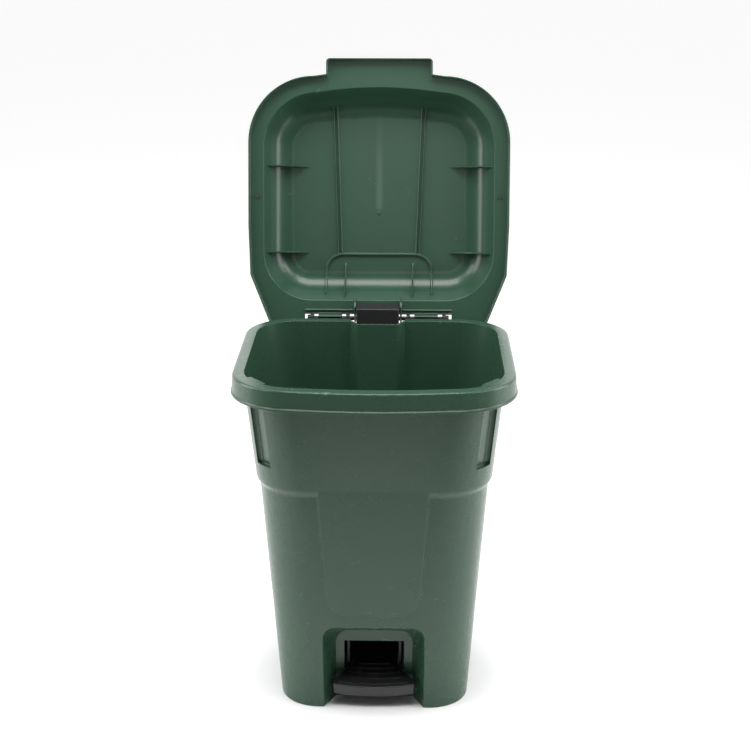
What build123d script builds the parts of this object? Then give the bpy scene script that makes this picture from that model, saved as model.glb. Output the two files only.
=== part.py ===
from build123d import *
import math
import os

# A pedal bin: moulded bucket, domed lid on a rod hinge, and a foot pedal whose rear arm lifts
# a push rod in a channel at the back. Millimetres, +Z up, front towards -Y, origin on the floor
# under the middle of the bucket. It stands with the lid open, as when the pedal is down.

# Bucket: height, half width, front wall, rear wall, corner radii front and rear, bow of the front
WALL = 3.0
RIM_TOP = 533.0
SHOULDER_LOW = 361.0
SHOULDER_HIGH = 368.0
REAR_FOOT = 121.0
REAR_TOP = 166.0
REAR_SLOPE = (REAR_TOP - REAR_FOOT) / RIM_TOP
LEVELS = [
    (0.0, 144.5, -121.0, REAR_FOOT, 60.0, 56.0, 0.0),
    (SHOULDER_LOW - 3, 169.59, -145.79, REAR_FOOT + REAR_SLOPE * (SHOULDER_LOW - 3), 73.88, 61.95, 0.0),
    (SHOULDER_LOW, 170.35, -146.44, REAR_FOOT + REAR_SLOPE * SHOULDER_LOW, 74.35, 62.1, 0.0),
    (364.5, 172.36, -148.11, REAR_FOOT + REAR_SLOPE * 364.5, 75.54, 62.5, 0.0),
    (SHOULDER_HIGH, 174.43, -149.84, REAR_FOOT + REAR_SLOPE * SHOULDER_HIGH, 76.67, 62.89, 0.0),
    (SHOULDER_HIGH + 3, 175.28, -150.58, REAR_FOOT + REAR_SLOPE * (SHOULDER_HIGH + 3), 77.05, 63.05, 0.0),
    (RIM_TOP, 190.5, -165.5, REAR_TOP, 79.5, 66.0, 8.0),
]
FRONT_SLOPE = (LEVELS[1][2] - LEVELS[0][2]) / LEVELS[1][0]
BUCKET_FLOOR = 40.0
FLOOR_FILLET = 8.0

# Rim: half width, front, rear, corner radii, bow, and its rolled skirt
RIM = (205.0, -180.0, 181.0, 94.0, 81.0, 8.0)
RIM_FLANGE = 3.0
RIM_DROP = 30.0
RIM_FLARE = 1.5
RIM_BEAD = 1.4
RIM_BEAD_HEIGHT = 3.0
RIM_BEAD_TAPER_TOP = 6.0
RIM_EDGE_RADIUS = 4.0
RIM_GAP_HALF = 43.0

# Raised panel on the lower front wall
PANEL_RISE = 3.88
PANEL_TOP = SHOULDER_HIGH + 22
PANEL_TOP_HALF = 83.0
PANEL_FOOT_HALF = 70.5
PANEL_FOOT = 159.0
PANEL_CORNER = 38.0
PANEL_SOFTNESS = 2.0
PANEL_DRAFT = 35
PANEL_SIDE_SLOPE = 0.06

# Grip pocket in each front corner under the rim
POCKET_ANGLE = 40.0
POCKET_HALF = 16.0
POCKET_DEPTH = 8.0
POCKET_FOOT = 400.0
POCKET_TOP = 528.0

# Channel for the push rod, moulded into the rear wall, and the tunnel under the bucket
CHANNEL_DEPTH = 18.0
CHANNEL_FOOT = REAR_FOOT - CHANNEL_DEPTH
CHANNEL_FLOOR_HALF = 30.0
CHANNEL_MOUTH_HALF = 41.0
TIE_BAND_TOP = 18.0
TUNNEL_HALF = 47.0
TUNNEL_TOP = 99.0
BODY_REAR = 140.0

# Foot recess: half widths and top at its back wall and at a plane in front of the mouth
RECESS_BACK = -86.0
RECESS_BACK_HALF = 59.0
RECESS_BACK_TOP = 114.0
RECESS_FRONT = -136.0
RECESS_FRONT_HALF_TOP = 79.0
RECESS_FRONT_HALF_FOOT = 84.0
RECESS_FRONT_TOP = 144.0
RECESS_CORNER = 20.0
RECESS_SOFTNESS = 3.0
DOORWAY_HALF = 45.7
DOORWAY_TOP = 95.0

# Lid, given shut: s runs forward from the hinge, n up from it
HINGE_Y = 203.0
HINGE_Z = 526.0
LID_TRAVEL = 103.5
LID_SHEET = 2.5
LID_SKIRT = 2.2
LID_UNDERSIDE = 9.0
LID_SKIRT_DROP = 12.0
LID_HALF = 211.0
LID_REAR_HALF = 208.0
LID_FRONT = -186.0
LID_BOW = 8.0
LID_FRONT_RADIUS = 106.0
LID_CUT_START = 133.0
LID_REAR = 215.0
LID_REAR_CORNER_HALF = 175.0
LID_REAR_RADIUS = 14.0
LID_EDGE_RADIUS = 2.4
LID_NOTCH_HALF = 119.5
LID_NOTCH_S = 6.0
TAB_HALF = 85.6
TAB_FRONT = -214.0
TAB_RADIUS = 6.0
BOWL = (187.0, -161.0, 174.0, 88.0, 78.0, 8.0)
BOWL_FLOOR_INSET = 21.0
BOWL_DEPTH = 45.0
BOWL_FILLET = 42.0
RIB_ROOT = 35.0
RIB = 1.4
RIB_RISE = 0.8
RIB_DEPTH = 4.0
TWIN_RIB = 2.0
TWIN_RIB_HALF_GAP = 2.9
TWIN_RIB_TOP = (72.5, 343.0)
TWIN_RIB_FOOT = (64.0, 103.0)
SIDE_GUSSETS = (247.0, 106.0)
SIDE_GUSSET_SPAN = (166.0, 113.0)
REAR_GUSSET_X = 55.5
REAR_GUSSET_SPAN = (20.0, 90.0)
GUSSET_FOOT = 5.0
REAR_FRAME_HALF = 89.0
REAR_FRAME_SPAN = (39.0, 105.0)
REAR_FRAME_CORNER = 30.0
REAR_FRAME_WALL = 3.5
GATE_S = 171.0
GATE_RADIUS = 2.5
GATE_HEIGHT = 2.4
LIP = 1.6
LIPS = (6.0, 12.2)
LIP_DROP = 3.5
BUFFER = (196.0, 197.0)
BUFFER_RADIUS = 3.5
BUFFER_HEIGHT = 1.6

# Hinge
HINGE_ROD_RADIUS = 3.5
HINGE_ROD_HALF = 113.5
RUNNING_FIT = 0.05
HOOK_RADIUS = 6.6
HOOK_CENTRE = 78.0
HOOK_WIDTH = 38.0
HOOK_MOUTH_HALF = 2.7
BRACKET_PLATE = 3.0
BRACKET_BELOW_RIM = (23.5, 1.5)
BRACKET_MARGIN = 3.0
BRACKET_KNUCKLES = (49.0, 107.0)
KNUCKLE_WIDTH = 6.0
KNUCKLE_RADIUS = 7.5
ROD_CAP_RADIUS = 5.4
PIN_CLIP_RADIUS = 5.2
AXLE_CLIP_RADIUS = 6.5

# Push rod, its head and shoe, given with the lid open
ROD_HALF = 26.0
ROD_NEAR = 6.0
ROD_THICK = 6.0
ROD_STROKE = 34.5
ROD_FOOT = 90.0
ROD_SINKS = (200.0, 315.0, 430.0)
ROD_SINK_HALF = 45.0
ROD_SINK_HALF_WIDTH = 17.0
ROD_SINK_DEPTH = 2.5
HEAD_HALF = 34.0
HEAD_REAR = 196.0
HEAD_TOP = 554.0
HEAD_FOOT = 505.0
PIN_Y = 189.0
PIN_Z = 543.0
PIN_RADIUS = 3.0
LUG_INSIDE = 35.5
LUG_THICK = 3.0
LUG_SLOT = ((9.25, -12.4), (16.05, -18.35))
LUG_SLOT_WIDTH = 9.6
LUG_OUTLINE = [(-6, 9), (34, 9), (34, 0), (27, -24), (19, -27.5), (9, -25), (-6.5, -6)]
LUG_CORNER = 4.0
GUIDE_HEIGHTS = {"upper": 430.0, "middle": 300.0, "lower": 165.0}
GUIDE_HALF = 62.0
GUIDE_HEIGHT = 28.0
GUIDE_PLATE = 3.0
GUIDE_CLEAR = 0.4
GUIDE_CHEEK = 2.8
GUIDE_LIP = 6.0
GUIDE_STOP_HALF = 18.0
GUIDE_STOP_HALF_HEIGHT = 10.0
COVER_HALF = 52.0
COVER_FOOTS = {"lower": 9.0}
SHOE_HALF = 22.0
SHOE_SPAN = (-12.0, 14.0)
SHOE_NEAR = 1.5
SHOE_BEHIND = 3.5

# Pedal, given pressed
AXLE_Y = 10.0
AXLE_Z = 60.0
AXLE_RADIUS = 4.0
AXLE_HALF = 45.0
REAR_ARM = 107.0
TIP_RADIUS = 7.0
ARM_HALF = 5.5
ARM_HALF_WIDTH = 16.0
ARM_SINK = 6.0
ARM_SINK_WIDTH = 22.0
ARM_SINK_ENDS = 17.0
HUB_RADIUS = 9.0
LEVER_HALF_SWING = math.degrees(math.asin(ROD_STROKE * 0.99646 / 2 / REAR_ARM))
TREAD_SLOPE = 12.0
TREAD_ABOVE_AXLE = 7.7
TREAD_REACH = 140.0
TREAD_HALF = 65.0
TREAD_NECK_HALF = 43.0
TREAD_NECK_REACH = 97.0
TREAD_SIDE_REACH = 122.0
TREAD_SIDE_TAPER = 2.0
TREAD_SHOULDER = 12.0
TREAD_CORNER = 7.0
TREAD_EDGE = 2.0
TREAD_RIM = 3.0
TREAD_SHEET = 4.0
TREAD_LIP = 18.0
TREAD_ARC = 270.0
STEM_HALF = 36.0
RIDGE_HALF = 1.1
RIDGE_RISE = 1.8
TREAD_RIDGES = [(132.0, 53.0), (120.0, 47.0), (108.0, 41.0), (96.5, 34.0), (86.0, 24.0)]
HOUSING_PLATE_INSIDE = 38.0
HOUSING_PLATE = 3.5
HOUSING_FRONT = -74.0
HOUSING_REAR = 34.0
HOUSING_FOOT = 46.0
HOUSING_WEB = 3.5
HOUSING_CORNER = 8.0
CLEARANCE = 0.5

# Stop bar across the tunnel, and the fasteners
STOP_BAR_Y = (54.0, 66.0)
STOP_BAR_Z = (34.0, 40.6)
STOP_PAD_TOP = 44.8
STOP_PAD_HALF = 16.0
SCREW_RADIUS = 2.0
SCREW_HEAD_RADIUS = 4.2
SCREW_HEAD = 2.2
WALL_BITE = 2.5
BRACKET_SCREWS = [(62.0, 519.0), (94.0, 519.0)]
GUIDE_SCREW_X = 52.0
HOUSING_SCREWS = [(24.0, -56.0), (24.0, 18.0)]
HEAD_SCREW_X = 14.0
HEAD_SCREW_UP = 520.0

# The push rod's own frame: Y up along the rod, Z rearwards from the channel's floor
ROD_PLANE = Plane(
    origin=(0, CHANNEL_FOOT, 0),
    x_dir=(-1, 0, 0),
    z_dir=Vector(0, 1, -REAR_SLOPE).normalized(),
)
WALL_FACE = CHANNEL_DEPTH / math.hypot(1.0, REAR_SLOPE)


def box(x, y, z):
    """Box from its lowest and highest corner along each axis."""
    size = (x[1] - x[0], y[1] - y[0], z[1] - z[0])
    return Pos(sum(x) / 2, sum(y) / 2, sum(z) / 2) * Box(*size)


def bar(x, y, z, radius):
    """Cylinder along X from x[0] to x[1]."""
    return Pos(sum(x) / 2, y, z) * Rot(0, 90, 0) * Cylinder(radius, x[1] - x[0])


def pin_y(x, z, y, radius):
    """Cylinder along Y from y[0] to y[1]."""
    return Pos(x, sum(y) / 2, z) * Rot(90, 0, 0) * Cylinder(radius, y[1] - y[0])


def screw(length):
    """Pan head screw along Z: head above the origin, shank below, cross recess in the head."""
    head = Pos(0, 0, SCREW_HEAD / 2) * Cylinder(SCREW_HEAD_RADIUS, SCREW_HEAD)
    head = fillet(head.faces().sort_by(Axis.Z)[-1].edges(), 1.2)
    cross = Box(4.4, 0.9, 2.4) + Box(0.9, 4.4, 2.4)
    shank = Pos(0, 0, -length / 2) * Cylinder(SCREW_RADIUS, length)
    return head + shank - Pos(0, 0, SCREW_HEAD) * cross


def both(shape):
    """The shape and its mirror image across the middle plane."""
    return [shape, mirror(shape, Plane.YZ)]


def outline(half, front, rear, front_radius, rear_radius, bow=0.0):
    """Rounded rectangle seen from above, whose front edge bows out by bow."""
    k = math.sqrt(0.5)
    fx, fy = half - front_radius, front + front_radius
    rx, ry = half - rear_radius, rear - rear_radius
    front_edge = Line((-fx, front), (fx, front))
    if bow:
        front_edge = ThreePointArc((-fx, front), (0, front - bow), (fx, front))
    corner_front = (fx + k * front_radius, fy - k * front_radius)
    corner_rear = (rx + k * rear_radius, ry + k * rear_radius)
    edges = [
        front_edge,
        ThreePointArc((fx, front), corner_front, (half, fy)),
        Line((half, fy), (half, ry)),
        ThreePointArc((half, ry), corner_rear, (rx, rear)),
        Line((rx, rear), (-rx, rear)),
        ThreePointArc((-rx, rear), (-corner_rear[0], corner_rear[1]), (-half, ry)),
        Line((-half, ry), (-half, fy)),
        ThreePointArc((-half, fy), (-corner_front[0], corner_front[1]), (-fx, front)),
    ]
    return make_face(edges)


def inset(shape, distance):
    """The outline's sizes moved inwards by a distance."""
    half, front, rear, front_radius, rear_radius, bow = shape
    return (
        half - distance,
        front + distance,
        rear - distance,
        front_radius - distance,
        rear_radius - distance,
        bow,
    )


def level(height):
    """The bucket's outline sizes at a height, straight between the given levels."""
    low, high = LEVELS[-2], LEVELS[-1]
    for a, b in zip(LEVELS, LEVELS[1:]):
        if height <= b[0]:
            low, high = a, b
            break
    t = (height - low[0]) / (high[0] - low[0])
    return tuple(p + t * (q - p) for p, q in zip(low[1:], high[1:]))


def bucket_block(bottom, top, distance):
    """Solid inside the bucket's outer surface moved in by distance, between two heights."""
    breaks = [row[0] for row in LEVELS if bottom < row[0] < top]
    heights = [bottom, *breaks, top]
    faces = [Pos(0, 0, z) * outline(*inset(level(z), distance)) for z in heights]
    return loft(faces, ruled=True)


def panel_boss(sunk):
    """The raised front panel, moved in along its normal by sunk."""
    normal = Vector(0, -1, FRONT_SLOPE).normalized()
    origin = Vector(0, LEVELS[0][2], 0) - normal * (1.0 + sunk)
    plane = Plane(origin=origin, x_dir=(1, 0, 0), z_dir=normal)
    rim_half = PANEL_TOP_HALF + PANEL_SIDE_SLOPE * (PANEL_TOP - SHOULDER_LOW)
    face = make_face(
        Polyline(
            (-PANEL_FOOT_HALF, PANEL_FOOT),
            (PANEL_FOOT_HALF, PANEL_FOOT),
            (rim_half, PANEL_TOP),
            (-rim_half, PANEL_TOP),
            close=True,
        )
    )
    foot_corners = face.vertices().sort_by(Axis.Y)[:2]
    face = fillet(foot_corners, PANEL_CORNER)
    boss = extrude(plane * face, PANEL_RISE + 1.0, taper=PANEL_DRAFT)
    return boss


def soft_panel():
    """The raised panel with the edge of its front face rounded."""
    boss = panel_boss(0)
    front = boss.faces().filter_by(GeomType.PLANE).sort_by(Axis.Y)[0]
    return fillet(front.edges(), PANEL_SOFTNESS)


def pocket_tool(side, near, far, half, bottom, top):
    """Leaning block over a front corner, from near to far inside the wall's outer surface."""
    angle = math.radians(POCKET_ANGLE)
    radial = Vector(side * math.cos(angle), -math.sin(angle), 0)

    def corner(height):
        wall_half, front, _, radius, _, _ = level(height)
        centre = Vector(side * (wall_half - radius), front + radius, 0)
        return centre + radial * radius + Vector(0, 0, height)

    lean = corner(top) - corner(bottom)
    middle = corner(bottom) - radial * ((near + far) / 2)
    plane = Plane(origin=middle, x_dir=radial, z_dir=(0, 0, 1))
    face = Rectangle(far - near, 2 * half)
    face = fillet(face.vertices(), min(6.0, (far - near) / 3))
    return extrude(plane * face, amount=lean.length, dir=lean.normalized())


def channel_prism(sections, bottom, top):
    """Prism that leans with the rear wall; sections are (half width, depth from its floor)."""
    start = CHANNEL_FOOT + REAR_SLOPE * bottom
    right = [(half, start + depth) for half, depth in sections]
    left = [(-half, y) for half, y in reversed(right)]
    face = Pos(0, 0, bottom) * make_face(Polyline(*right, *left, close=True))
    direction = Vector(0, REAR_SLOPE, 1)
    return extrude(face, amount=(top - bottom) * direction.length, dir=direction.normalized())


def recess_block(grow):
    """The flared foot recess, or with grow the block that its walls fill."""
    slope_half = (RECESS_FRONT_HALF_TOP - RECESS_BACK_HALF) / (RECESS_BACK - RECESS_FRONT)

    def mouth(y, half_foot, half_top, top):
        face = make_face(
            Polyline((-half_foot, -5), (half_foot, -5), (half_top, top), (-half_top, top), close=True)
        )
        tops = face.vertices().sort_by(Axis.Y)[-2:]
        return Plane(origin=(0, y, 0), x_dir=(1, 0, 0), z_dir=(0, -1, 0)) * fillet(tops, RECESS_CORNER)

    back = RECESS_BACK + grow
    shift = slope_half * grow
    rear = mouth(
        back, RECESS_BACK_HALF + grow - shift, RECESS_BACK_HALF + grow - shift, RECESS_BACK_TOP + grow
    )
    front = mouth(
        RECESS_FRONT, RECESS_FRONT_HALF_FOOT + grow, RECESS_FRONT_HALF_TOP + grow, RECESS_FRONT_TOP + grow
    )
    return loft([rear, front], ruled=True)


def outer_form():
    """Bucket with its panel and foot recess, solid inside, with the recess mouth rounded."""
    form = bucket_block(0, RIM_TOP, 0) + soft_panel() - recess_block(0)
    mouth = []
    for edge in form.edges():
        middle = edge.center()
        off_wall = abs(middle.Y - LEVELS[0][2] - FRONT_SLOPE * middle.Z)
        if off_wall < 0.6 and 20 < middle.Z < RECESS_FRONT_TOP and abs(middle.X) < RECESS_FRONT_HALF_TOP + 4:
            mouth.append(edge)
    return fillet(mouth, RECESS_SOFTNESS)


def rim_ring():
    """The rolled rim: flange, flared skirt with a bead at its foot, open underneath."""
    foot = RIM_TOP - RIM_DROP
    flared = (RIM[0] + RIM_FLARE, RIM[1] - RIM_FLARE, RIM[2], RIM[3] + RIM_FLARE, RIM[4], RIM[5])
    outer = loft([Pos(0, 0, foot) * outline(*flared), Pos(0, 0, RIM_TOP) * outline(*RIM)], ruled=True)
    outer = fillet(outer.faces().sort_by(Axis.Z)[-1].edges(), RIM_EDGE_RADIUS)
    bead = loft(
        [
            Pos(0, 0, foot) * outline(*inset(flared, -RIM_BEAD)),
            Pos(0, 0, foot + RIM_BEAD_HEIGHT) * outline(*inset(flared, -RIM_BEAD)),
            Pos(0, 0, foot + RIM_BEAD_TAPER_TOP) * outline(*inset(flared, WALL / 2)),
        ],
        ruled=True,
    )
    hollow = loft(
        [
            Pos(0, 0, foot - 1) * outline(*inset(flared, WALL)),
            Pos(0, 0, RIM_TOP - RIM_FLANGE) * outline(*inset(RIM, WALL)),
        ],
        ruled=True,
    )
    return outer + bead - hollow


def make_bin_body():
    """Bucket, rim, panel, pockets, recess, tunnel and rod channel in one moulding."""
    channel_void = [
        (CHANNEL_FLOOR_HALF, 0),
        (CHANNEL_MOUTH_HALF, CHANNEL_DEPTH),
        (RIM_GAP_HALF, CHANNEL_DEPTH + 2),
        (RIM_GAP_HALF, CHANNEL_DEPTH + 25),
    ]
    channel_wall = [
        (CHANNEL_FLOOR_HALF + 1.7, -WALL),
        (CHANNEL_MOUTH_HALF + 2.7, CHANNEL_DEPTH - WALL + 0.5),
        (CHANNEL_MOUTH_HALF + 2.7, CHANNEL_DEPTH),
    ]
    inner = bucket_block(-1, 130, WALL)
    keep = channel_prism(channel_wall, 0, RIM_TOP)
    tunnel = (-TUNNEL_HALF - WALL, TUNNEL_HALF + WALL)
    keep += box(tunnel, (RECESS_BACK, BODY_REAR), (0, TUNNEL_TOP + WALL)) & inner
    keep += recess_block(WALL)
    for side in (-1, 1):
        keep += pocket_tool(side, -0.5, POCKET_DEPTH + WALL, POCKET_HALF + WALL, POCKET_FOOT - WALL, RIM_TOP)
    cavity = bucket_block(BUCKET_FLOOR + WALL, RIM_TOP + 1, WALL) + panel_boss(WALL)
    cavity = fillet(cavity.faces().sort_by(Axis.Z)[0].edges(), FLOOR_FILLET)
    under = bucket_block(-1, BUCKET_FLOOR, WALL)
    body = outer_form() + rim_ring()
    body -= cavity - keep
    body -= under - keep
    body -= box((-DOORWAY_HALF, DOORWAY_HALF), (RECESS_BACK - 5, RECESS_BACK + 6), (-5, DOORWAY_TOP))
    body -= box((-TUNNEL_HALF, TUNNEL_HALF), (RECESS_BACK + WALL, BODY_REAR), (-5, TUNNEL_TOP)) & inner
    body -= channel_prism(channel_void, TIE_BAND_TOP, RIM_TOP + 5)
    for side in (-1, 1):
        body -= pocket_tool(side, -12, POCKET_DEPTH, POCKET_HALF, POCKET_FOOT, POCKET_TOP)
    body += box((-TUNNEL_HALF - 1, TUNNEL_HALF + 1), STOP_BAR_Y, STOP_BAR_Z)
    for x, z in BRACKET_SCREWS:
        for side in (-1, 1):
            body -= pin_y(side * x, z, (RIM[2] - 6, RIM[2] + 4), SCREW_RADIUS)
    for height in GUIDE_HEIGHTS.values():
        for side in (-1, 1):
            hole = Pos(side * GUIDE_SCREW_X, height, WALL_FACE) * Cylinder(SCREW_RADIUS, 2 * WALL_BITE)
            body -= ROD_PLANE * hole
    for x, y in HOUSING_SCREWS:
        for side in (-1, 1):
            body -= Pos(side * x, y, TUNNEL_TOP) * Cylinder(SCREW_RADIUS, 2 * WALL_BITE)
    return body


def open_lid(shape):
    """Turns a shape given with the lid shut about the hinge to the open stop."""
    return Pos(0, HINGE_Y, HINGE_Z) * Rot(-LID_TRAVEL, 0, 0) * Pos(0, -HINGE_Y, -HINGE_Z) * shape


def lid_z(n):
    """Height of a distance n above the hinge, with the lid shut."""
    return HINGE_Z + n


def mitre(before, corner, after, distance):
    """A polygon's corner moved so that both its sides move inwards by a distance."""
    along_in = (corner[0] - before[0], corner[1] - before[1])
    along_out = (after[0] - corner[0], after[1] - corner[1])
    a, b = along_in[1] / math.hypot(*along_in), -along_in[0] / math.hypot(*along_in)
    c, d = along_out[1] / math.hypot(*along_out), -along_out[0] / math.hypot(*along_out)
    share = distance / (1 + a * c + b * d)
    return (corner[0] - share * (a + c), corner[1] - share * (b + d))


def lid_plan(shrink):
    """The lid's outline from above: rounded front, cut rear corners, handle tab."""
    k = math.sqrt(0.5)
    radius = LID_FRONT_RADIUS - shrink
    half, front = LID_HALF - shrink, LID_FRONT + shrink
    fx, fy = half - radius, front + radius
    corner = (fx + k * radius, fy - k * radius)
    side = [
        (LID_HALF, fy),
        (LID_HALF, LID_CUT_START - 80),
        (LID_REAR_HALF, LID_CUT_START),
        (LID_REAR_CORNER_HALF, LID_REAR),
        (-LID_REAR_CORNER_HALF, LID_REAR),
    ]
    turns = [mitre(*trio, shrink) for trio in zip(side, side[1:], side[2:])]
    right = [ThreePointArc((fx, front), corner, (half, fy)), *Polyline((half, fy), *turns).edges()]
    left = [mirror(edge, Plane.YZ) for edge in right]
    rear = Line(turns[-1], (-turns[-1][0], turns[-1][1]))
    nose = ThreePointArc((-fx, front), (0, front - LID_BOW), (fx, front))
    plan = make_face([nose, *right, rear, *left])
    rear_corners = plan.vertices().filter_by_position(Axis.Y, LID_CUT_START - 3, LID_REAR + 1)
    plan = fillet(rear_corners, LID_REAR_RADIUS - shrink)
    tab_front, tab_rear = TAB_FRONT + shrink, LID_FRONT + 4
    tab = Pos(0, (tab_front + tab_rear) / 2) * Rectangle(2 * (TAB_HALF - shrink), tab_rear - tab_front)
    tab = fillet(tab.vertices().sort_by(Axis.Y)[:2], TAB_RADIUS - shrink)
    return plan + tab


def web(start, end, thickness, low, high):
    """Thin upright wall between two points (x, y) with the lid shut, from n low to n high."""
    span = math.hypot(end[0] - start[0], end[1] - start[1])
    turn = math.degrees(math.atan2(end[1] - start[1], end[0] - start[0]))
    middle = ((start[0] + end[0]) / 2, (start[1] + end[1]) / 2, lid_z((low + high) / 2))
    return Pos(*middle) * Rot(0, 0, turn) * Box(span, thickness, high - low)


def side_gusset(s):
    """Triangular web from the dome's side wall to its floor, across the lid at distance s."""
    floor = lid_z(LID_UNDERSIDE + BOWL_DEPTH) + RIB_RISE
    foot = (BOWL[0] + 0.5, lid_z(LID_UNDERSIDE + GUSSET_FOOT))
    face = make_face(Polyline(foot, *[(x, floor) for x in SIDE_GUSSET_SPAN], close=True))
    plane = Plane(origin=(0, HINGE_Y - s + RIB / 2, 0), x_dir=(1, 0, 0), z_dir=(0, -1, 0))
    return extrude(plane * face, RIB)


def rear_gusset(x):
    """Triangular web from the dome's rear wall along its floor."""
    floor = lid_z(LID_UNDERSIDE + BOWL_DEPTH) + RIB_RISE
    near, far = REAR_GUSSET_SPAN
    start = (BOWL[2] + 0.5, lid_z(LID_UNDERSIDE + GUSSET_FOOT))
    face = make_face(Polyline(start, (BOWL[2] - near, floor), (HINGE_Y - far, floor), close=True))
    plane = Plane(origin=(x - RIB / 2, 0, 0), x_dir=(0, 1, 0), z_dir=(1, 0, 0))
    return extrude(plane * face, RIB)


def hook():
    """Open eye that snaps over the hinge rod, with its web up to the lid's edge."""
    half = HOOK_WIDTH / 2
    x = (HOOK_CENTRE - half, HOOK_CENTRE + half)
    top = lid_z(LID_UNDERSIDE + LID_SHEET)
    ring = bar(x, HINGE_Y, HINGE_Z, HOOK_RADIUS)
    ring += box(x, (HINGE_Y - LID_NOTCH_S - 3, HINGE_Y + 3), (lid_z(4), top))
    ring -= bar((x[0] - 1, x[1] + 1), HINGE_Y, HINGE_Z, HINGE_ROD_RADIUS + RUNNING_FIT)
    mouth = (HINGE_Y - HOOK_MOUTH_HALF, HINGE_Y + HOOK_MOUTH_HALF)
    return ring - box((x[0] - 1, x[1] + 1), mouth, (HINGE_Z - 9, HINGE_Z))


def lug():
    """Ear beside the lifter head: turns on the hinge rod and holds the pin in an oval slot."""
    face = make_face(Polyline(*[(HINGE_Y - s, lid_z(n)) for s, n in LUG_OUTLINE], close=True))
    face = fillet(face.vertices().sort_by(Axis.Y)[:5], LUG_CORNER)
    near, far = LUG_SLOT
    slope = math.degrees(math.atan2(far[1] - near[1], near[0] - far[0]))
    middle = ((near[0] + far[0]) / 2, (near[1] + far[1]) / 2)
    slot = SlotCenterToCenter(math.dist(near, far), LUG_SLOT_WIDTH)
    face -= Pos(HINGE_Y - middle[0], lid_z(middle[1])) * Rot(0, 0, slope) * slot
    face -= Pos(HINGE_Y, HINGE_Z) * Circle(HINGE_ROD_RADIUS + RUNNING_FIT)
    plane = Plane(origin=(LUG_INSIDE, 0, 0), x_dir=(0, 1, 0), z_dir=(1, 0, 0))
    return extrude(plane * face, LUG_THICK)


def bowl_space():
    """The space inside the dome, from just below the flange's underside to the dome's floor."""
    under = lid_z(LID_UNDERSIDE)
    mouth = Pos(0, 0, under - 0.5) * outline(*inset(BOWL, -0.2))
    floor = outline(*inset(BOWL, BOWL_FLOOR_INSET))
    space = loft([mouth, Pos(0, 0, under + BOWL_DEPTH) * floor], ruled=True)
    return fillet(space.faces().sort_by(Axis.Z)[-1].edges(), BOWL_FILLET)


def rear_frame_plan(near, shrink):
    """Plan of the low frame in the dome's rear, from s = near on, smaller by shrink at sides and front."""
    half, far = REAR_FRAME_HALF - shrink, REAR_FRAME_SPAN[1] - shrink
    plan = Pos(0, HINGE_Y - (near + far) / 2) * Rectangle(2 * half, far - near)
    return fillet(plan.vertices().sort_by(Axis.Y)[:2], REAR_FRAME_CORNER - shrink)


def dome_ribs():
    """Everything moulded on the inside of the dome, for the right half and the middle."""
    floor = LID_UNDERSIDE + BOWL_DEPTH
    open_air = Pos(0, 0, -RIB_DEPTH) * bowl_space()
    right = []
    for offset in (-TWIN_RIB_HALF_GAP, TWIN_RIB_HALF_GAP):
        start = (TWIN_RIB_TOP[0] + offset, HINGE_Y - TWIN_RIB_TOP[1])
        end = (TWIN_RIB_FOOT[0] + offset, HINGE_Y - TWIN_RIB_FOOT[1])
        right.append(web(start, end, TWIN_RIB, floor - RIB_ROOT, floor + RIB_RISE) - open_air)
    right += [side_gusset(s) for s in SIDE_GUSSETS]
    right.append(rear_gusset(REAR_GUSSET_X))
    near = REAR_FRAME_SPAN[0]
    frame = rear_frame_plan(near, 0) - rear_frame_plan(near - 5, REAR_FRAME_WALL)
    frame = extrude(Pos(0, 0, lid_z(floor + RIB_RISE)) * frame, -RIB_ROOT) - open_air
    gate = Pos(0, HINGE_Y - GATE_S, lid_z(floor)) * Cylinder(GATE_RADIUS, GATE_HEIGHT)
    return right, [frame, gate]


def make_lid_shell():
    """Domed lid with skirt, handle tab, hinge hooks, lifter lugs and inner ribs, shut."""
    foot, under = lid_z(LID_UNDERSIDE - LID_SKIRT_DROP), lid_z(LID_UNDERSIDE)
    block = extrude(Pos(0, 0, foot) * lid_plan(0), LID_SKIRT_DROP + LID_SHEET)
    block = fillet(block.faces().sort_by(Axis.Z)[-1].edges(), LID_EDGE_RADIUS)
    block -= extrude(Pos(0, 0, foot - 1) * lid_plan(LID_SKIRT), LID_SKIRT_DROP + 1)
    floor_shape = inset(BOWL, BOWL_FLOOR_INSET)
    crown = under + BOWL_DEPTH + LID_SHEET
    dome = loft(
        [
            Pos(0, 0, under) * outline(*inset(BOWL, -LID_SHEET)),
            Pos(0, 0, crown) * outline(*inset(floor_shape, -LID_SHEET)),
        ],
        ruled=True,
    )
    dome = fillet(dome.faces().sort_by(Axis.Z)[-1].edges(), BOWL_FILLET + LID_SHEET)
    shell = block + dome - bowl_space()
    notch = (HINGE_Y - LID_NOTCH_S, LID_REAR + 1)
    shell -= box((-LID_NOTCH_HALF, LID_NOTCH_HALF), notch, (foot - 2, crown))
    right, middle = dome_ribs()
    right = [piece & dome for piece in right]
    right.append(hook())
    right.append(lug())
    lip = (lid_z(LID_UNDERSIDE - LIP_DROP), under + 1)
    for start in LIPS:
        right.append(box((LUG_INSIDE, LID_NOTCH_HALF), (HINGE_Y - start - LIP, HINGE_Y - start), lip))
    for piece in right:
        for half in both(piece):
            shell += half
    for piece in middle:
        shell += piece & dome
    return open_lid(shell)


def make_lid_buffers():
    """Soft nubs under the lid's side flanges that land on the rim."""
    place = Pos(BUFFER[0], HINGE_Y - BUFFER[1], lid_z(LID_UNDERSIDE - BUFFER_HEIGHT / 2))
    nub = place * Cylinder(BUFFER_RADIUS, BUFFER_HEIGHT)
    return [open_lid(half) for half in both(nub)]


def make_hinge_rod():
    """Straight steel rod behind the rim."""
    return [bar((-HINGE_ROD_HALF, HINGE_ROD_HALF), HINGE_Y, HINGE_Z, HINGE_ROD_RADIUS)]


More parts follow.
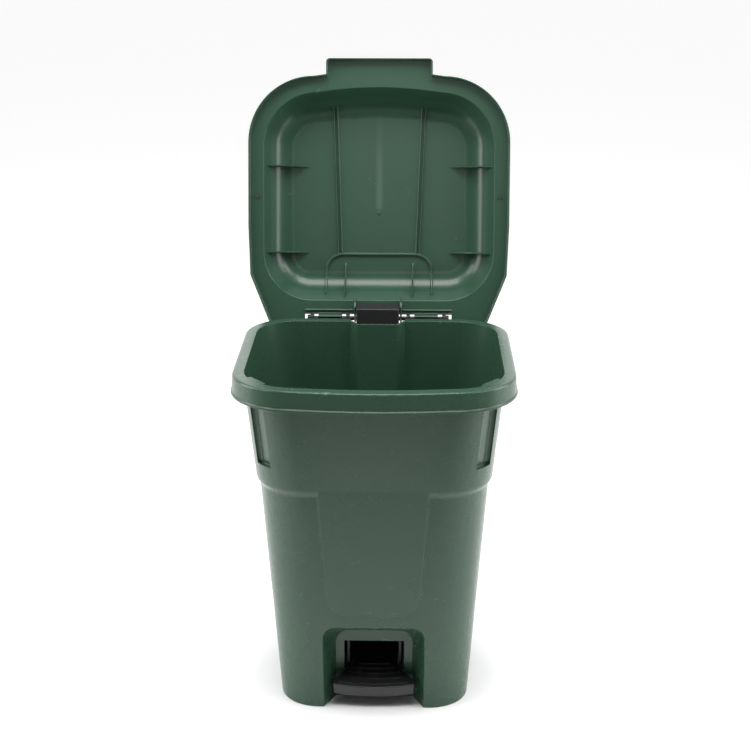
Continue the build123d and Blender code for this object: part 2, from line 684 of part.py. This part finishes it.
def make_hinge_rod_clips():
    """Push-on caps over the rod's ends."""
    x = (BRACKET_KNUCKLES[1] + KNUCKLE_WIDTH / 2 + 0.3, HINGE_ROD_HALF + 1.2)
    cap = bar(x, HINGE_Y, HINGE_Z, ROD_CAP_RADIUS)
    cap -= bar((0, HINGE_ROD_HALF), HINGE_Y, HINGE_Z, HINGE_ROD_RADIUS)
    return both(cap)


def make_hinge_bracket():
    """Plate on the rear of the rim's skirt with two knuckles round the hinge rod, right side."""
    face = RIM[2]
    low, high = (RIM_TOP - drop for drop in BRACKET_BELOW_RIM)
    x = (BRACKET_KNUCKLES[0] - BRACKET_MARGIN, BRACKET_KNUCKLES[1] + BRACKET_MARGIN)
    bracket = box(x, (face, face + BRACKET_PLATE), (low, high))
    bracket = fillet(bracket.edges().filter_by(Axis.Y), 3.0)
    for middle in BRACKET_KNUCKLES:
        edges = (middle - KNUCKLE_WIDTH / 2, middle + KNUCKLE_WIDTH / 2)
        profile = Polyline(
            (face + 1, low + 2),
            (face + 1, high),
            (HINGE_Y, HINGE_Z + KNUCKLE_RADIUS - 2.5),
            (HINGE_Y, HINGE_Z - KNUCKLE_RADIUS),
            close=True,
        )
        plane = Plane(origin=(edges[0], 0, 0), x_dir=(0, 1, 0), z_dir=(1, 0, 0))
        bracket += extrude(plane * make_face(profile), KNUCKLE_WIDTH)
        bracket += bar(edges, HINGE_Y, HINGE_Z, KNUCKLE_RADIUS)
        bracket -= bar((edges[0] - 1, edges[1] + 1), HINGE_Y, HINGE_Z, HINGE_ROD_RADIUS)
    for x_screw, z in BRACKET_SCREWS:
        bracket -= pin_y(x_screw, z, (face - 1, face + BRACKET_PLATE + 1), SCREW_RADIUS)
    return bracket


def make_bracket_screws():
    """Four screws through the bracket plates into the rim's skirt."""
    screws = []
    for x, z in BRACKET_SCREWS:
        for side in (-1, 1):
            place = Pos(side * x, RIM[2] + BRACKET_PLATE, z) * Rot(-90, 0, 0)
            screws.append(place * screw(BRACKET_PLATE + WALL + 2))
    return screws


def make_push_rod():
    """Flat strip in the rear channel, with sinks in its rear face to save weight."""
    depth = (ROD_NEAR, ROD_NEAR + ROD_THICK)
    rod = box((-ROD_HALF, ROD_HALF), (ROD_FOOT, RIM_TOP), depth)
    rod = fillet(rod.edges().filter_by(Axis.Z), 3.0)
    for middle in ROD_SINKS:
        span = (middle - ROD_SINK_HALF, middle + ROD_SINK_HALF)
        width = (-ROD_SINK_HALF_WIDTH, ROD_SINK_HALF_WIDTH)
        sink = box(width, span, (depth[1] - ROD_SINK_DEPTH, depth[1] + 1))
        rod -= fillet(sink.edges().filter_by(Axis.Z), 5.0)
    for side in (-1, 1):
        rod -= Pos(side * HEAD_SCREW_X, HEAD_SCREW_UP, depth[0]) * Cylinder(SCREW_RADIUS, 20)
    return ROD_PLANE * rod


def make_lifter_head():
    """Block on the rod's upper end that reaches back under the hinge and carries the pin."""
    block = box((-HEAD_HALF, HEAD_HALF), (140, HEAD_REAR), (HEAD_FOOT, HEAD_TOP))
    front = box((-50, 50), (440, 600), (-60, ROD_NEAR + ROD_THICK))
    block -= ROD_PLANE * front
    block = fillet(block.edges().filter_by(Axis.X).sort_by(Axis.Z)[-2:], 3.0)
    block = fillet(block.edges().filter_by(Axis.Z), 2.0)
    block -= bar((-HEAD_HALF - 1, HEAD_HALF + 1), PIN_Y, PIN_Z, PIN_RADIUS)
    for side in (-1, 1):
        hole = Pos(side * HEAD_SCREW_X, HEAD_SCREW_UP, ROD_NEAR + ROD_THICK) * Cylinder(SCREW_RADIUS, 20)
        block -= ROD_PLANE * hole
    return block


def make_head_screws():
    """Two screws from the front of the rod into the head."""
    screws = []
    for side in (-1, 1):
        place = Pos(side * HEAD_SCREW_X, HEAD_SCREW_UP, ROD_NEAR) * Rot(180, 0, 0)
        screws.append(ROD_PLANE * place * screw(ROD_THICK + 9))
    return screws


def make_lifter_pin():
    """Cross pin through the head and both lugs' slots."""
    reach = LUG_INSIDE + LUG_THICK + 2.6
    return [bar((-reach, reach), PIN_Y, PIN_Z, PIN_RADIUS)]


def make_pin_clips():
    """Push-on washers that keep the pin in the lugs."""
    start = LUG_INSIDE + LUG_THICK + 0.5
    clip = bar((start, start + 1.2), PIN_Y, PIN_Z, PIN_CLIP_RADIUS) - bar((0, 60), PIN_Y, PIN_Z, PIN_RADIUS)
    return both(clip)


def make_rod_guide(height, cover_foot=None):
    """Bridge across the channel: plate on the rear wall, cheeks, front lips and a rear stop.

    With cover_foot the plate runs on down to that height and hides the pedal's rear arm."""
    half = GUIDE_HEIGHT / 2
    span = (height - half, height + half)
    plate_depth = (WALL_FACE, WALL_FACE + GUIDE_PLATE)
    plate = box((-GUIDE_HALF, GUIDE_HALF), span, plate_depth)
    guide = fillet(plate.edges().filter_by(Axis.Z), 5.0)
    if cover_foot is not None:
        cover = box((-COVER_HALF, COVER_HALF), (cover_foot, height), plate_depth)
        guide += fillet(cover.edges().filter_by(Axis.Z), 5.0)
    outside, front = ROD_HALF + GUIDE_CLEAR + GUIDE_CHEEK, ROD_NEAR - GUIDE_CLEAR - GUIDE_CHEEK
    cheek = box((ROD_HALF + GUIDE_CLEAR, outside), span, (front, WALL_FACE))
    lip = box((ROD_HALF - GUIDE_LIP, outside), span, (front, ROD_NEAR - GUIDE_CLEAR))
    for piece in (cheek, lip):
        for half_piece in both(piece):
            guide += half_piece
    stop = (ROD_NEAR + ROD_THICK + GUIDE_CLEAR, WALL_FACE)
    stop_span = (height - GUIDE_STOP_HALF_HEIGHT, height + GUIDE_STOP_HALF_HEIGHT)
    guide += box((-GUIDE_STOP_HALF, GUIDE_STOP_HALF), stop_span, stop)
    for side in (-1, 1):
        guide -= Pos(side * GUIDE_SCREW_X, height, WALL_FACE) * Cylinder(SCREW_RADIUS, 10)
    return ROD_PLANE * guide


def make_guide_screws():
    """Two screws for each guide."""
    screws = []
    for height in GUIDE_HEIGHTS.values():
        for side in (-1, 1):
            place = Pos(side * GUIDE_SCREW_X, height, WALL_FACE + GUIDE_PLATE)
            screws.append(ROD_PLANE * place * screw(GUIDE_PLATE + WALL_BITE))
    return screws


def make_rod_foot(rod):
    """Wear shoe on the rod's lower end, just above the pedal's rear arm."""
    tip_top = AXLE_Z + REAR_ARM * math.sin(math.radians(LEVER_HALF_SWING)) + TIP_RADIUS
    span = (ROD_FOOT + SHOE_SPAN[0], ROD_FOOT + SHOE_SPAN[1])
    shoe = box((-SHOE_HALF, SHOE_HALF), span, (SHOE_NEAR, ROD_NEAR + ROD_THICK + SHOE_BEHIND))
    shoe = ROD_PLANE * fillet(shoe.edges().filter_by(Axis.Y), 2.0)
    shoe -= box((-30, 30), (80, 150), (tip_top + CLEARANCE - 30, tip_top + CLEARANCE))
    return shoe - rod


def about_axle(angle):
    """Placement that turns a shape drawn about the origin onto the axle."""
    return Pos(0, AXLE_Y, AXLE_Z) * Rot(angle, 0, 0)


def tread_arc(reach, half):
    """Arc that bulges forward to reach at the middle, ending at x = half on both sides."""
    drop = TREAD_ARC - math.sqrt(TREAD_ARC**2 - half**2)
    return ThreePointArc((-half, drop - reach), (0, -reach), (half, drop - reach))


def tread_block():
    """Tread and stem: a sheet with a lip all round, on the plane that the foot presses."""
    front = tread_arc(TREAD_REACH, TREAD_HALF)
    corner = front @ 1
    points = [(corner.X, corner.Y), (TREAD_HALF - TREAD_SIDE_TAPER, -TREAD_SIDE_REACH)]
    points += [(TREAD_NECK_HALF, -TREAD_NECK_REACH)]
    points += [(STEM_HALF, -TREAD_NECK_REACH + TREAD_SHOULDER), (STEM_HALF, 0)]
    others = [(-x, y) for x, y in reversed(points)]
    plan = make_face([front, *Polyline(*points, *others).edges()])
    plan = fillet(plan.vertices().sort_by(Axis.Y)[:2], TREAD_CORNER)
    foot = TREAD_ABOVE_AXLE - TREAD_LIP
    block = extrude(Pos(0, 0, foot) * plan, TREAD_LIP)
    block = fillet(block.faces().sort_by(Axis.Z)[-1].edges(), TREAD_EDGE)
    inside = offset(plan, -TREAD_RIM, kind=Kind.INTERSECTION)
    return block - extrude(Pos(0, 0, foot - 1) * inside, TREAD_LIP - TREAD_SHEET + 1)


def make_pedal_lever():
    """Foot pedal: ribbed tread and stem, hub on the axle, rear arm with a round tip."""
    lever = about_axle(TREAD_SLOPE) * tread_block()
    for reach, half in TREAD_RIDGES:
        band = make_face([tread_arc(reach + RIDGE_HALF, half), *ridge_ends(reach, half)])
        ridge = extrude(Pos(0, 0, TREAD_ABOVE_AXLE - 1) * band, 1 + RIDGE_RISE)
        lever += about_axle(TREAD_SLOPE) * ridge
    lever += bar((-STEM_HALF, STEM_HALF), AXLE_Y, AXLE_Z, HUB_RADIUS)
    arm = box((-ARM_HALF_WIDTH, ARM_HALF_WIDTH), (0, REAR_ARM), (-ARM_HALF, ARM_HALF))
    arm += bar((-ARM_HALF_WIDTH - 2, ARM_HALF_WIDTH + 2), REAR_ARM, 0, TIP_RADIUS)
    sink = Box(ARM_SINK_WIDTH, REAR_ARM - 2 * ARM_SINK_ENDS, ARM_SINK)
    for side in (-1, 1):
        arm -= Pos(side * ARM_HALF_WIDTH, REAR_ARM / 2, 0) * sink
    lever += about_axle(LEVER_HALF_SWING) * arm
    return lever - bar((-60, 60), AXLE_Y, AXLE_Z, AXLE_RADIUS + RUNNING_FIT)


def ridge_ends(reach, half):
    """The back arc of a ridge and the short lines that close it."""
    front, back = tread_arc(reach + RIDGE_HALF, half), tread_arc(reach - RIDGE_HALF, half)
    return [Line(front @ 1, back @ 1), back, Line(back @ 0, front @ 0)]


def make_pedal_axle():
    """Steel axle through the housing's side plates."""
    return [bar((-AXLE_HALF, AXLE_HALF), AXLE_Y, AXLE_Z, AXLE_RADIUS)]


def make_axle_clips():
    """Push-on washers outside the housing's plates."""
    start = HOUSING_PLATE_INSIDE + HOUSING_PLATE + 0.3
    clip = bar((start, start + 1.4), AXLE_Y, AXLE_Z, AXLE_CLIP_RADIUS)
    return both(clip - bar((0, 60), AXLE_Y, AXLE_Z, AXLE_RADIUS))


def make_pedal_housing():
    """Channel-shaped bearing bracket under the tunnel's roof: two side plates and a web."""
    outer = HOUSING_PLATE_INSIDE + HOUSING_PLATE
    y = (HOUSING_FRONT, HOUSING_REAR)
    housing = box((-outer, outer), y, (TUNNEL_TOP - HOUSING_WEB, TUNNEL_TOP))
    side = box((HOUSING_PLATE_INSIDE, outer), y, (HOUSING_FOOT, TUNNEL_TOP))
    side = fillet(side.edges().filter_by(Axis.X).sort_by(Axis.Z)[:2], HOUSING_CORNER)
    for half in both(side):
        housing += half
    housing -= bar((-60, 60), AXLE_Y, AXLE_Z, AXLE_RADIUS)
    for x, y_screw in HOUSING_SCREWS:
        for side_sign in (-1, 1):
            housing -= Pos(side_sign * x, y_screw, TUNNEL_TOP) * Cylinder(SCREW_RADIUS, 12)
    return housing


def make_housing_screws():
    """Four screws from below into the tunnel's roof."""
    screws = []
    for x, y in HOUSING_SCREWS:
        for side in (-1, 1):
            place = Pos(side * x, y, TUNNEL_TOP - HOUSING_WEB) * Rot(180, 0, 0)
            screws.append(place * screw(HOUSING_WEB + WALL_BITE))
    return screws


def make_stop_pad():
    """Soft pad on the stop bar, where the rear arm rests with the lid shut."""
    pad = box((-STOP_PAD_HALF, STOP_PAD_HALF), STOP_BAR_Y, (STOP_BAR_Z[1], STOP_PAD_TOP))
    return [fillet(pad.edges().filter_by(Axis.Z), 3.0)]


def as_list(shape):
    """One shape or several as a list."""
    return shape if isinstance(shape, list) else [shape]


def make_nodes():
    """Every node by name."""
    rod = make_push_rod()
    bracket = make_hinge_bracket()
    nodes = {
        "bin_body": make_bin_body(),
        "lid_shell": make_lid_shell(),
        "lid_buffers": make_lid_buffers(),
        "hinge_rod": make_hinge_rod(),
        "hinge_rod_clips": make_hinge_rod_clips(),
        "hinge_bracket_right": bracket,
        "hinge_bracket_left": mirror(bracket, Plane.YZ),
        "hinge_bracket_screws": make_bracket_screws(),
        "push_rod": rod,
        "lifter_head": make_lifter_head(),
        "lifter_head_screws": make_head_screws(),
        "lifter_pin": make_lifter_pin(),
        "lifter_pin_clips": make_pin_clips(),
        "rod_guide_screws": make_guide_screws(),
        "rod_foot": make_rod_foot(rod),
        "pedal_lever": make_pedal_lever(),
        "pedal_axle": make_pedal_axle(),
        "pedal_axle_clips": make_axle_clips(),
        "pedal_housing": make_pedal_housing(),
        "pedal_housing_screws": make_housing_screws(),
        "pedal_stop_pad": make_stop_pad(),
    }
    for name, height in GUIDE_HEIGHTS.items():
        nodes["rod_guide_" + name] = make_rod_guide(height, COVER_FOOTS.get(name))
    return nodes


os.makedirs("parts", exist_ok=True)
for name, shape in make_nodes().items():
    solids = [solid for piece in as_list(shape) for solid in piece.solids()]
    whole = solids[0] if len(solids) == 1 else Compound(children=solids)
    export_step(whole, "parts/" + name + ".step")
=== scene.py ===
import math

import bmesh
import bpy
import numpy as np
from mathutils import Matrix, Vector


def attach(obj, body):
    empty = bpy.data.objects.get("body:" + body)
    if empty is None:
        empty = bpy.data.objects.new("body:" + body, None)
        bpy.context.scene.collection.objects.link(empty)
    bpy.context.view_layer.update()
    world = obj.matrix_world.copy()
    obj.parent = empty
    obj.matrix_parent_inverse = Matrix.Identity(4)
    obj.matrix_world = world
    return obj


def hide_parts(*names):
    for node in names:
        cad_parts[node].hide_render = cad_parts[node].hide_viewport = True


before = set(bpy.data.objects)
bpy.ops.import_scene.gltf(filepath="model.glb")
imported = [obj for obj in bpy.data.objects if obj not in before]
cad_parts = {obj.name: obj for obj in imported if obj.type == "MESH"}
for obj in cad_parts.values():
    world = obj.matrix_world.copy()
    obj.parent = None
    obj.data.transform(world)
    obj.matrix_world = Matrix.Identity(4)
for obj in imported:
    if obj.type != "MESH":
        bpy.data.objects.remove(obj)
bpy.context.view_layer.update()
scene = bpy.context.scene


# Studio. A pale sheet of paper lies on the floor and runs far past the bin, brighter behind it than in
# front:
# its colour is painted shade, grey far in front and white near the bin and behind, and it glows with painted
# light that is strongest behind and fades out near the bin's feet. Two tall softboxes stand beside it, three
# hang above and a weak one stands in front. The room is dim in front and bright behind.
def disc(name, radius, rings, spokes):
    """A flat round sheet at floor level. Each ring's radius is the sheet's radius times the square of the
    ring's share of the way out. Its points are evenly spaced round a turn, and neighbours are joined."""
    radii = radius * np.linspace(0, 1, rings + 1)[1:] ** 2
    angles = np.linspace(0, 2 * math.pi, spokes, endpoint=False)
    r, a = np.meshgrid(radii, angles, indexing="ij")
    points = np.stack([r * np.cos(a), r * np.sin(a), np.zeros_like(r)], -1).reshape(-1, 3)
    points = np.concatenate([points, np.zeros((1, 3))])
    k = np.arange(rings * spokes).reshape(rings, spokes)
    right = np.roll(k, -1, axis=1)
    quads = np.stack([k[:-1], k[1:], right[1:], right[:-1]], -1).reshape(-1, 4).tolist()
    centre = np.full(spokes, len(points) - 1)
    fan = np.stack([centre, k[0], right[0]], -1).tolist()
    mesh = bpy.data.meshes.new(name)
    mesh.from_pydata(points.tolist(), [], quads + fan)
    sheet = bpy.data.objects.new(name, mesh)
    scene.collection.objects.link(sheet)
    return sheet


class Signal:
    """A shader socket. Arithmetic on it adds Math nodes, and node() adds any other node."""

    def __init__(self, tree, socket=None):
        self.tree, self.socket = tree, socket

    def node(self, kind, settings=None, inputs=None, output=0):
        """Adds a node of that kind: its settings come first, then its sockets' values or links."""
        made = self.tree.nodes.new("ShaderNode" + kind)
        for key, value in (settings or {}).items():
            setattr(made, key, value)
        for key, value in (inputs or {}).items():
            if isinstance(value, Signal):
                self.tree.links.new(value.socket, made.inputs[key])
            else:
                made.inputs[key].default_value = value
        return Signal(self.tree, made.outputs[output])

    def math(self, operation, first, second):
        """A Math node of that operation on two values or signals."""
        return self.node("Math", {"operation": operation}, {0: first, 1: second})

    def __add__(self, other):
        return self.math("ADD", self, other)

    __radd__ = __add__

    def __sub__(self, other):
        return self.math("SUBTRACT", self, other)

    def __rsub__(self, other):
        return self.math("SUBTRACT", other, self)

    def __mul__(self, other):
        return self.math("MULTIPLY", self, other)

    __rmul__ = __mul__


def finish(name, colour, roughness, **constants):
    """A new material with a Principled shader: the material, its shader and a signal to build on."""
    material = bpy.data.materials.new(name)
    material.use_nodes = True
    shader = material.node_tree.nodes["Principled BSDF"]
    shader.inputs["Base Color"].default_value = (*colour, 1)
    shader.inputs["Roughness"].default_value = roughness
    for key, value in constants.items():
        shader.inputs[key.replace("_", " ")].default_value = value
    return material, shader, Signal(material.node_tree)


def feed(signal, shader, socket):
    """Links a signal to a socket of the shader."""
    signal.tree.links.new(signal.socket, shader.inputs[socket])


paper = disc("paper_sheet", radius=14.0, rings=24, spokes=96)
white, painted_shade_grey = (0.93, 0.93, 0.93), (0.40, 0.40, 0.40)
glow = {"Emission_Color": (1, 1, 1, 1), "Emission_Strength": 0.45}
paper_white, paper_shader, start = finish("paper_white", white, 0.9, Specular_IOR_Level=0.1, **glow)
across = start.node("TexCoord", output="Object")
lengthwise = start.node("SeparateXYZ", inputs={0: across}, output=1)
clear_of_bin = start.node("VectorMath", {"operation": "LENGTH"}, {0: across}, output="Value")
smooth = {"interpolation_type": "SMOOTHSTEP"}
behind = {"Value": lengthwise, "From Min": -0.7, "From Max": 0.5, "To Min": 0.02}
outside_feet = {"Value": clear_of_bin, "From Min": 0.14, "From Max": 0.30}
near_bin = {"Value": lengthwise, "From Min": -1.15, "From Max": -0.4}
# Painted light: the paper's glow rises from front to back and fades out within about 0.3 m of the bin's
# middle, so the lamps' shadow round the feet stays.
painted_glow = start.node("MapRange", smooth, behind) * start.node("MapRange", smooth, outside_feet)
feed(painted_glow, paper_shader, "Emission Color")
# Painted shade: the paper is grey more than about 1.15 m in front of the bin and white from 0.4 m in front
# of it onwards.
painted_shade_fade = start.node("MapRange", smooth, near_bin)
ends = {"Factor": painted_shade_fade, 6: (*painted_shade_grey, 1), 7: (*white, 1)}
shade = start.node("Mix", {"data_type": "RGBA"}, ends, output=2)
feed(shade, paper_shader, "Base Color")
paper.data.materials.append(paper_white)

world = bpy.data.worlds.new("studio_room")
world.use_nodes = True
scene.world = world
room = Signal(world.node_tree)
direction = room.node("TexCoord", output="Generated")
REAR_GLOW, FRONT_GLOW = 1.9, 0.10
depth = room.node("SeparateXYZ", inputs={0: direction}, output=1)
rearward = depth * 0.5 + 0.5
brightness = rearward * rearward * rearward * REAR_GLOW + FRONT_GLOW
background = world.node_tree.nodes["Background"]
background.inputs["Color"].default_value = (1, 1, 1, 1)
world.node_tree.links.new(brightness.socket, background.inputs["Strength"])

# Each softbox: its place, width, height and power.
SOFTBOXES = {
    "left": ((-1.7, 0.0, 1.0), 0.9, 1.6, 22.0),
    "right": ((1.7, 0.0, 1.0), 0.9, 1.6, 22.0),
    "overhead": ((0.0, -0.45, 2.4), 1.4, 0.9, 30.0),
    "high_left": ((-1.45, -0.75, 2.0), 0.45, 0.9, 9.0),
    "high_right": ((1.45, -0.75, 2.0), 0.45, 0.9, 9.0),
    "front": ((0.0, -3.3, 1.95), 0.5, 0.9, 3.0),
}
middle_of_bin = Vector((0, 0, 0.45))
for side, (place, width, height, power) in SOFTBOXES.items():
    lamp = bpy.data.lights.new("softbox_" + side, "AREA")
    lamp.shape, lamp.size, lamp.size_y, lamp.energy = "RECTANGLE", width, height, power
    box = bpy.data.objects.new("softbox_" + side, lamp)
    box.location = place
    box.rotation_euler = (middle_of_bin - Vector(place)).to_track_quat("-Z", "Y").to_euler()
    scene.collection.objects.link(box)

camera_data = bpy.data.cameras.new("camera")
camera_data.lens, camera_data.sensor_width = 72.0, 36.0
camera = bpy.data.objects.new("camera", camera_data)
camera.location = (0.0466, -2.1378, 1.2223)
camera.rotation_euler = Vector((-0.0209, 0.9468, -0.3210)).to_track_quat("-Z", "Y").to_euler()
scene.collection.objects.link(camera)
scene.camera = camera
scene.view_settings.view_transform = "Standard"


# Bucket. One injection moulding in deep green polypropylene: rolled rim, stepped shoulder, raised front
# panel, grip pockets, foot recess. It carries everything else and stands on its own foot ring.
SHARP_EDGE = 32
TOUCHING, VANISHING = 1e-5, 1e-6


def joined_copy(node, name):
    """A copy of a CAD node as one skin: corners that meet are joined, and only sharp edges stay sharp."""
    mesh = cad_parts[node].data.copy()
    mesh.name = name
    skin = bmesh.new()
    skin.from_mesh(mesh)
    bmesh.ops.remove_doubles(skin, verts=skin.verts, dist=TOUCHING)
    bmesh.ops.dissolve_degenerate(skin, edges=skin.edges, dist=VANISHING)
    skin.to_mesh(mesh)
    skin.free()
    for stale in ("custom_normal", "sharp_face", "sharp_edge"):
        if stale in mesh.attributes:
            mesh.attributes.remove(mesh.attributes[stale])
    mesh.shade_smooth()
    mesh.set_sharp_from_angle(angle=math.radians(SHARP_EDGE))
    piece = bpy.data.objects.new(name, mesh)
    scene.collection.objects.link(piece)
    mesh.materials.clear()
    even = piece.modifiers.new("even_normals", "WEIGHTED_NORMAL")
    even.keep_sharp = True
    return piece


def moulded_green(name, tint, gloss):
    """Green polypropylene with faint flow clouds and a fine moulded grain: the material, its shader, a
    signal to build on, the place on the piece and the colour there."""
    material, shader, at = finish(name, tint, gloss, IOR=1.49)
    place = at.node("TexCoord", output="Object")
    cloud = at.node("TexNoise", inputs={"Vector": place, "Scale": 6.0, "Detail": 4.0})
    flow = at.node("TexNoise", inputs={"Vector": place, "Scale": 38.0, "Detail": 3.0, "Distortion": 0.6})
    grain = at.node("TexNoise", inputs={"Vector": place, "Scale": 900.0, "Detail": 2.0})
    pale = tuple(c * 1.1 + 0.002 for c in tint)
    deep = tuple(c * 0.92 for c in tint)
    blend = cloud * 0.7 + flow * 0.3
    colour = at.node("Mix", {"data_type": "RGBA"}, {"Factor": blend, 6: (*deep, 1), 7: (*pale, 1)}, output=2)
    cloud_sway, flow_sway = 0.05, 0.04
    least = gloss - (cloud_sway + flow_sway) / 2
    feed(cloud * cloud_sway + flow * flow_sway + least, shader, "Roughness")
    skin = {"Strength": 0.04, "Distance": 0.0002, "Height": grain}
    feed(at.node("Bump", inputs=skin), shader, "Normal")
    return material, shader, at, place, colour


def band(at, value, near, far):
    """One where the value is at near or before it, falling smoothly to nought at far."""
    limits = {"Value": value, "From Min": near, "From Max": far, "To Min": 1.0, "To Max": 0.0}
    return at.node("MapRange", {"interpolation_type": "SMOOTHSTEP"}, limits)


SLIVER = 1e-4


def rounded_edges(piece, radius):
    """Rounds a piece's sharp edges by a radius. Slivers go and flat faces are joined first, and the
    rounding comes ahead of the modifier that evens the normals."""
    skin = bmesh.new()
    skin.from_mesh(piece.data)
    bmesh.ops.remove_doubles(skin, verts=skin.verts, dist=SLIVER)
    flat = {"angle_limit": math.radians(0.5), "delimit": {"SHARP"}}
    bmesh.ops.dissolve_limit(skin, verts=skin.verts, edges=skin.edges, **flat)
    skin.to_mesh(piece.data)
    skin.free()
    rounding = piece.modifiers.new("rounded_edges", "BEVEL")
    rounding.width, rounding.segments = radius, 2
    rounding.limit_method, rounding.angle_limit = "ANGLE", math.radians(50)
    rounding.use_clamp_overlap = False
    piece.modifiers.move(1, 0)


GREEN = (0.028, 0.072, 0.044)
bucket = joined_copy("bin_body", "bucket")
body_green, shader, at, place, colour = moulded_green("green_bucket", GREEN, 0.27)
height = at.node("SeparateXYZ", inputs={0: place}, output=2)
scrape = at.node("TexNoise", inputs={"Vector": place, "Scale": 55.0, "Detail": 6.0, "Roughness": 0.75})
scraped = band(at, 0.66 - scrape, 0.0, 0.06)
on_rim = 1.0 - band(at, height, 0.528, 0.533)
rim_wear = scraped * on_rim * 0.5
pale_scuff = {"Factor": rim_wear, 6: colour, 7: (0.20, 0.25, 0.21, 1)}
feed(at.node("Mix", {"data_type": "RGBA"}, pale_scuff, output=2), shader, "Base Color")
bucket.data.materials.append(body_green)
rounded_edges(bucket, 0.0006)
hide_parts("bin_body")
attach(bucket, "bin")


# Lid. A domed moulding of the same green, with its twin ribs, gussets and hinge hooks inside.
# It snaps onto the hinge rod behind the rim. A pale flow streak runs up from its gate.
lid = joined_copy("lid_shell", "lid")
lid_green, shader, at, place, colour = moulded_green("green_lid", (0.030, 0.080, 0.049), 0.26)
sideways = at.node("SeparateXYZ", inputs={0: place}, output=0)
height = at.node("SeparateXYZ", inputs={0: place}, output=2)
off_centre = at.node("Math", {"operation": "ABSOLUTE"}, {0: sideways})
above_gate = (1.0 - band(at, height, 0.682, 0.690)) * band(at, height, 0.70, 0.86)
rearward = at.node("SeparateXYZ", inputs={0: place}, output=1)
lean = math.radians(13.5)
depth = rearward * math.cos(lean) - height * math.sin(lean)
inside = band(at, depth, 0.1292, 0.1304)
streak = band(at, off_centre, 0.001, 0.008) * above_gate * inside * 0.35
milky = {"Factor": streak, 6: colour, 7: (0.13, 0.21, 0.16, 1)}
feed(at.node("Mix", {"data_type": "RGBA"}, milky, output=2), shader, "Base Color")
lid.data.materials.append(lid_green)
rounded_edges(lid, 0.0007)
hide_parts("lid_shell")
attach(lid, "lid")


# Pedal. One black nylon moulding with five curved grip ridges and a polished skin, dulled here and
# there by shoes.
pedal = joined_copy("pedal_lever", "foot_pedal")
pedal_black, shader, at = finish("pedal_black", (0.016, 0.016, 0.017), 0.24, IOR=1.55)
place = at.node("TexCoord", output="Object")
rub = at.node("TexNoise", inputs={"Vector": place, "Scale": 40.0, "Detail": 5.0})
grain = at.node("TexNoise", inputs={"Vector": place, "Scale": 1400.0, "Detail": 2.0})
feed(rub * 0.12 + 0.14, shader, "Roughness")
soft = at.node("Bevel", {"samples": 4}, {"Radius": 0.0008})
skin = {"Strength": 0.05, "Distance": 0.0002, "Height": grain, "Normal": soft}
feed(at.node("Bump", inputs=skin), shader, "Normal")
pedal.data.materials.append(pedal_black)
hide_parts("pedal_lever")
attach(pedal, "pedal")


# Housing, guides, brackets, push rod and lifter head. Black glass-filled nylon mouldings with a dull
# speckled skin, screwed to the bucket or to one another.
def dress(nodes, material):
    """Puts a material on CAD nodes in place of the one that they came with."""
    for node in nodes:
        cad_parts[node].data.materials.clear()
        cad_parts[node].data.materials.append(material)


def speckled(name, colour, roughness, scale, depth, **constants):
    """A material whose roughness and surface follow one noise of the given scale and depth."""
    material, shader, at = finish(name, colour, roughness, **constants)
    place = at.node("TexCoord", output="Object")
    fleck = at.node("TexNoise", inputs={"Vector": place, "Scale": scale, "Detail": 4.0})
    sway = 0.24
    feed(fleck * sway + (roughness - sway / 2), shader, "Roughness")
    skin = {"Strength": 0.3, "Distance": depth, "Height": fleck}
    feed(at.node("Bump", inputs=skin), shader, "Normal")
    return material


guides = ["rod_guide_upper", "rod_guide_middle", "rod_guide_lower"]
brackets = ["hinge_bracket_left", "hinge_bracket_right"]
black_nylon = speckled("black_nylon", (0.014, 0.014, 0.015), 0.46, 300.0, 0.0002)
dress(["lifter_head", "pedal_housing", "push_rod", *guides, *brackets], black_nylon)


# Wear shoe. Natural acetal, cream coloured and waxy, pressed on the rod's foot.
acetal = speckled("natural_acetal", (0.62, 0.58, 0.49), 0.38, 220.0, 0.0001, Subsurface_Weight=0.1)
dress(["rod_foot"], acetal)


# Hinge rod, lifter pin and their clips. Blued steel, nearly black, with a brushed skin.
hinge_steel = speckled("blued_steel", (0.035, 0.036, 0.04), 0.36, 700.0, 0.00005, Metallic=1.0)
dress(["hinge_rod", "hinge_rod_clips", "lifter_pin", "lifter_pin_clips"], hinge_steel)


# Pedal axle and screws. Zinc-plated steel, dull with fine crystals.
screws = ["hinge_bracket_screws", "lifter_head_screws", "rod_guide_screws", "pedal_housing_screws"]
zinc = speckled("zinc_plate", (0.42, 0.42, 0.41), 0.42, 900.0, 0.00005, Metallic=1.0)
dress(["pedal_axle", "pedal_axle_clips", *screws], zinc)


# Buffers under the lid and the pad under the rear arm. Soft dark rubber, matt and grainy.
dress(["lid_buffers", "pedal_stop_pad"], speckled("soft_rubber", (0.030, 0.045, 0.036), 0.7, 500.0, 0.0003))
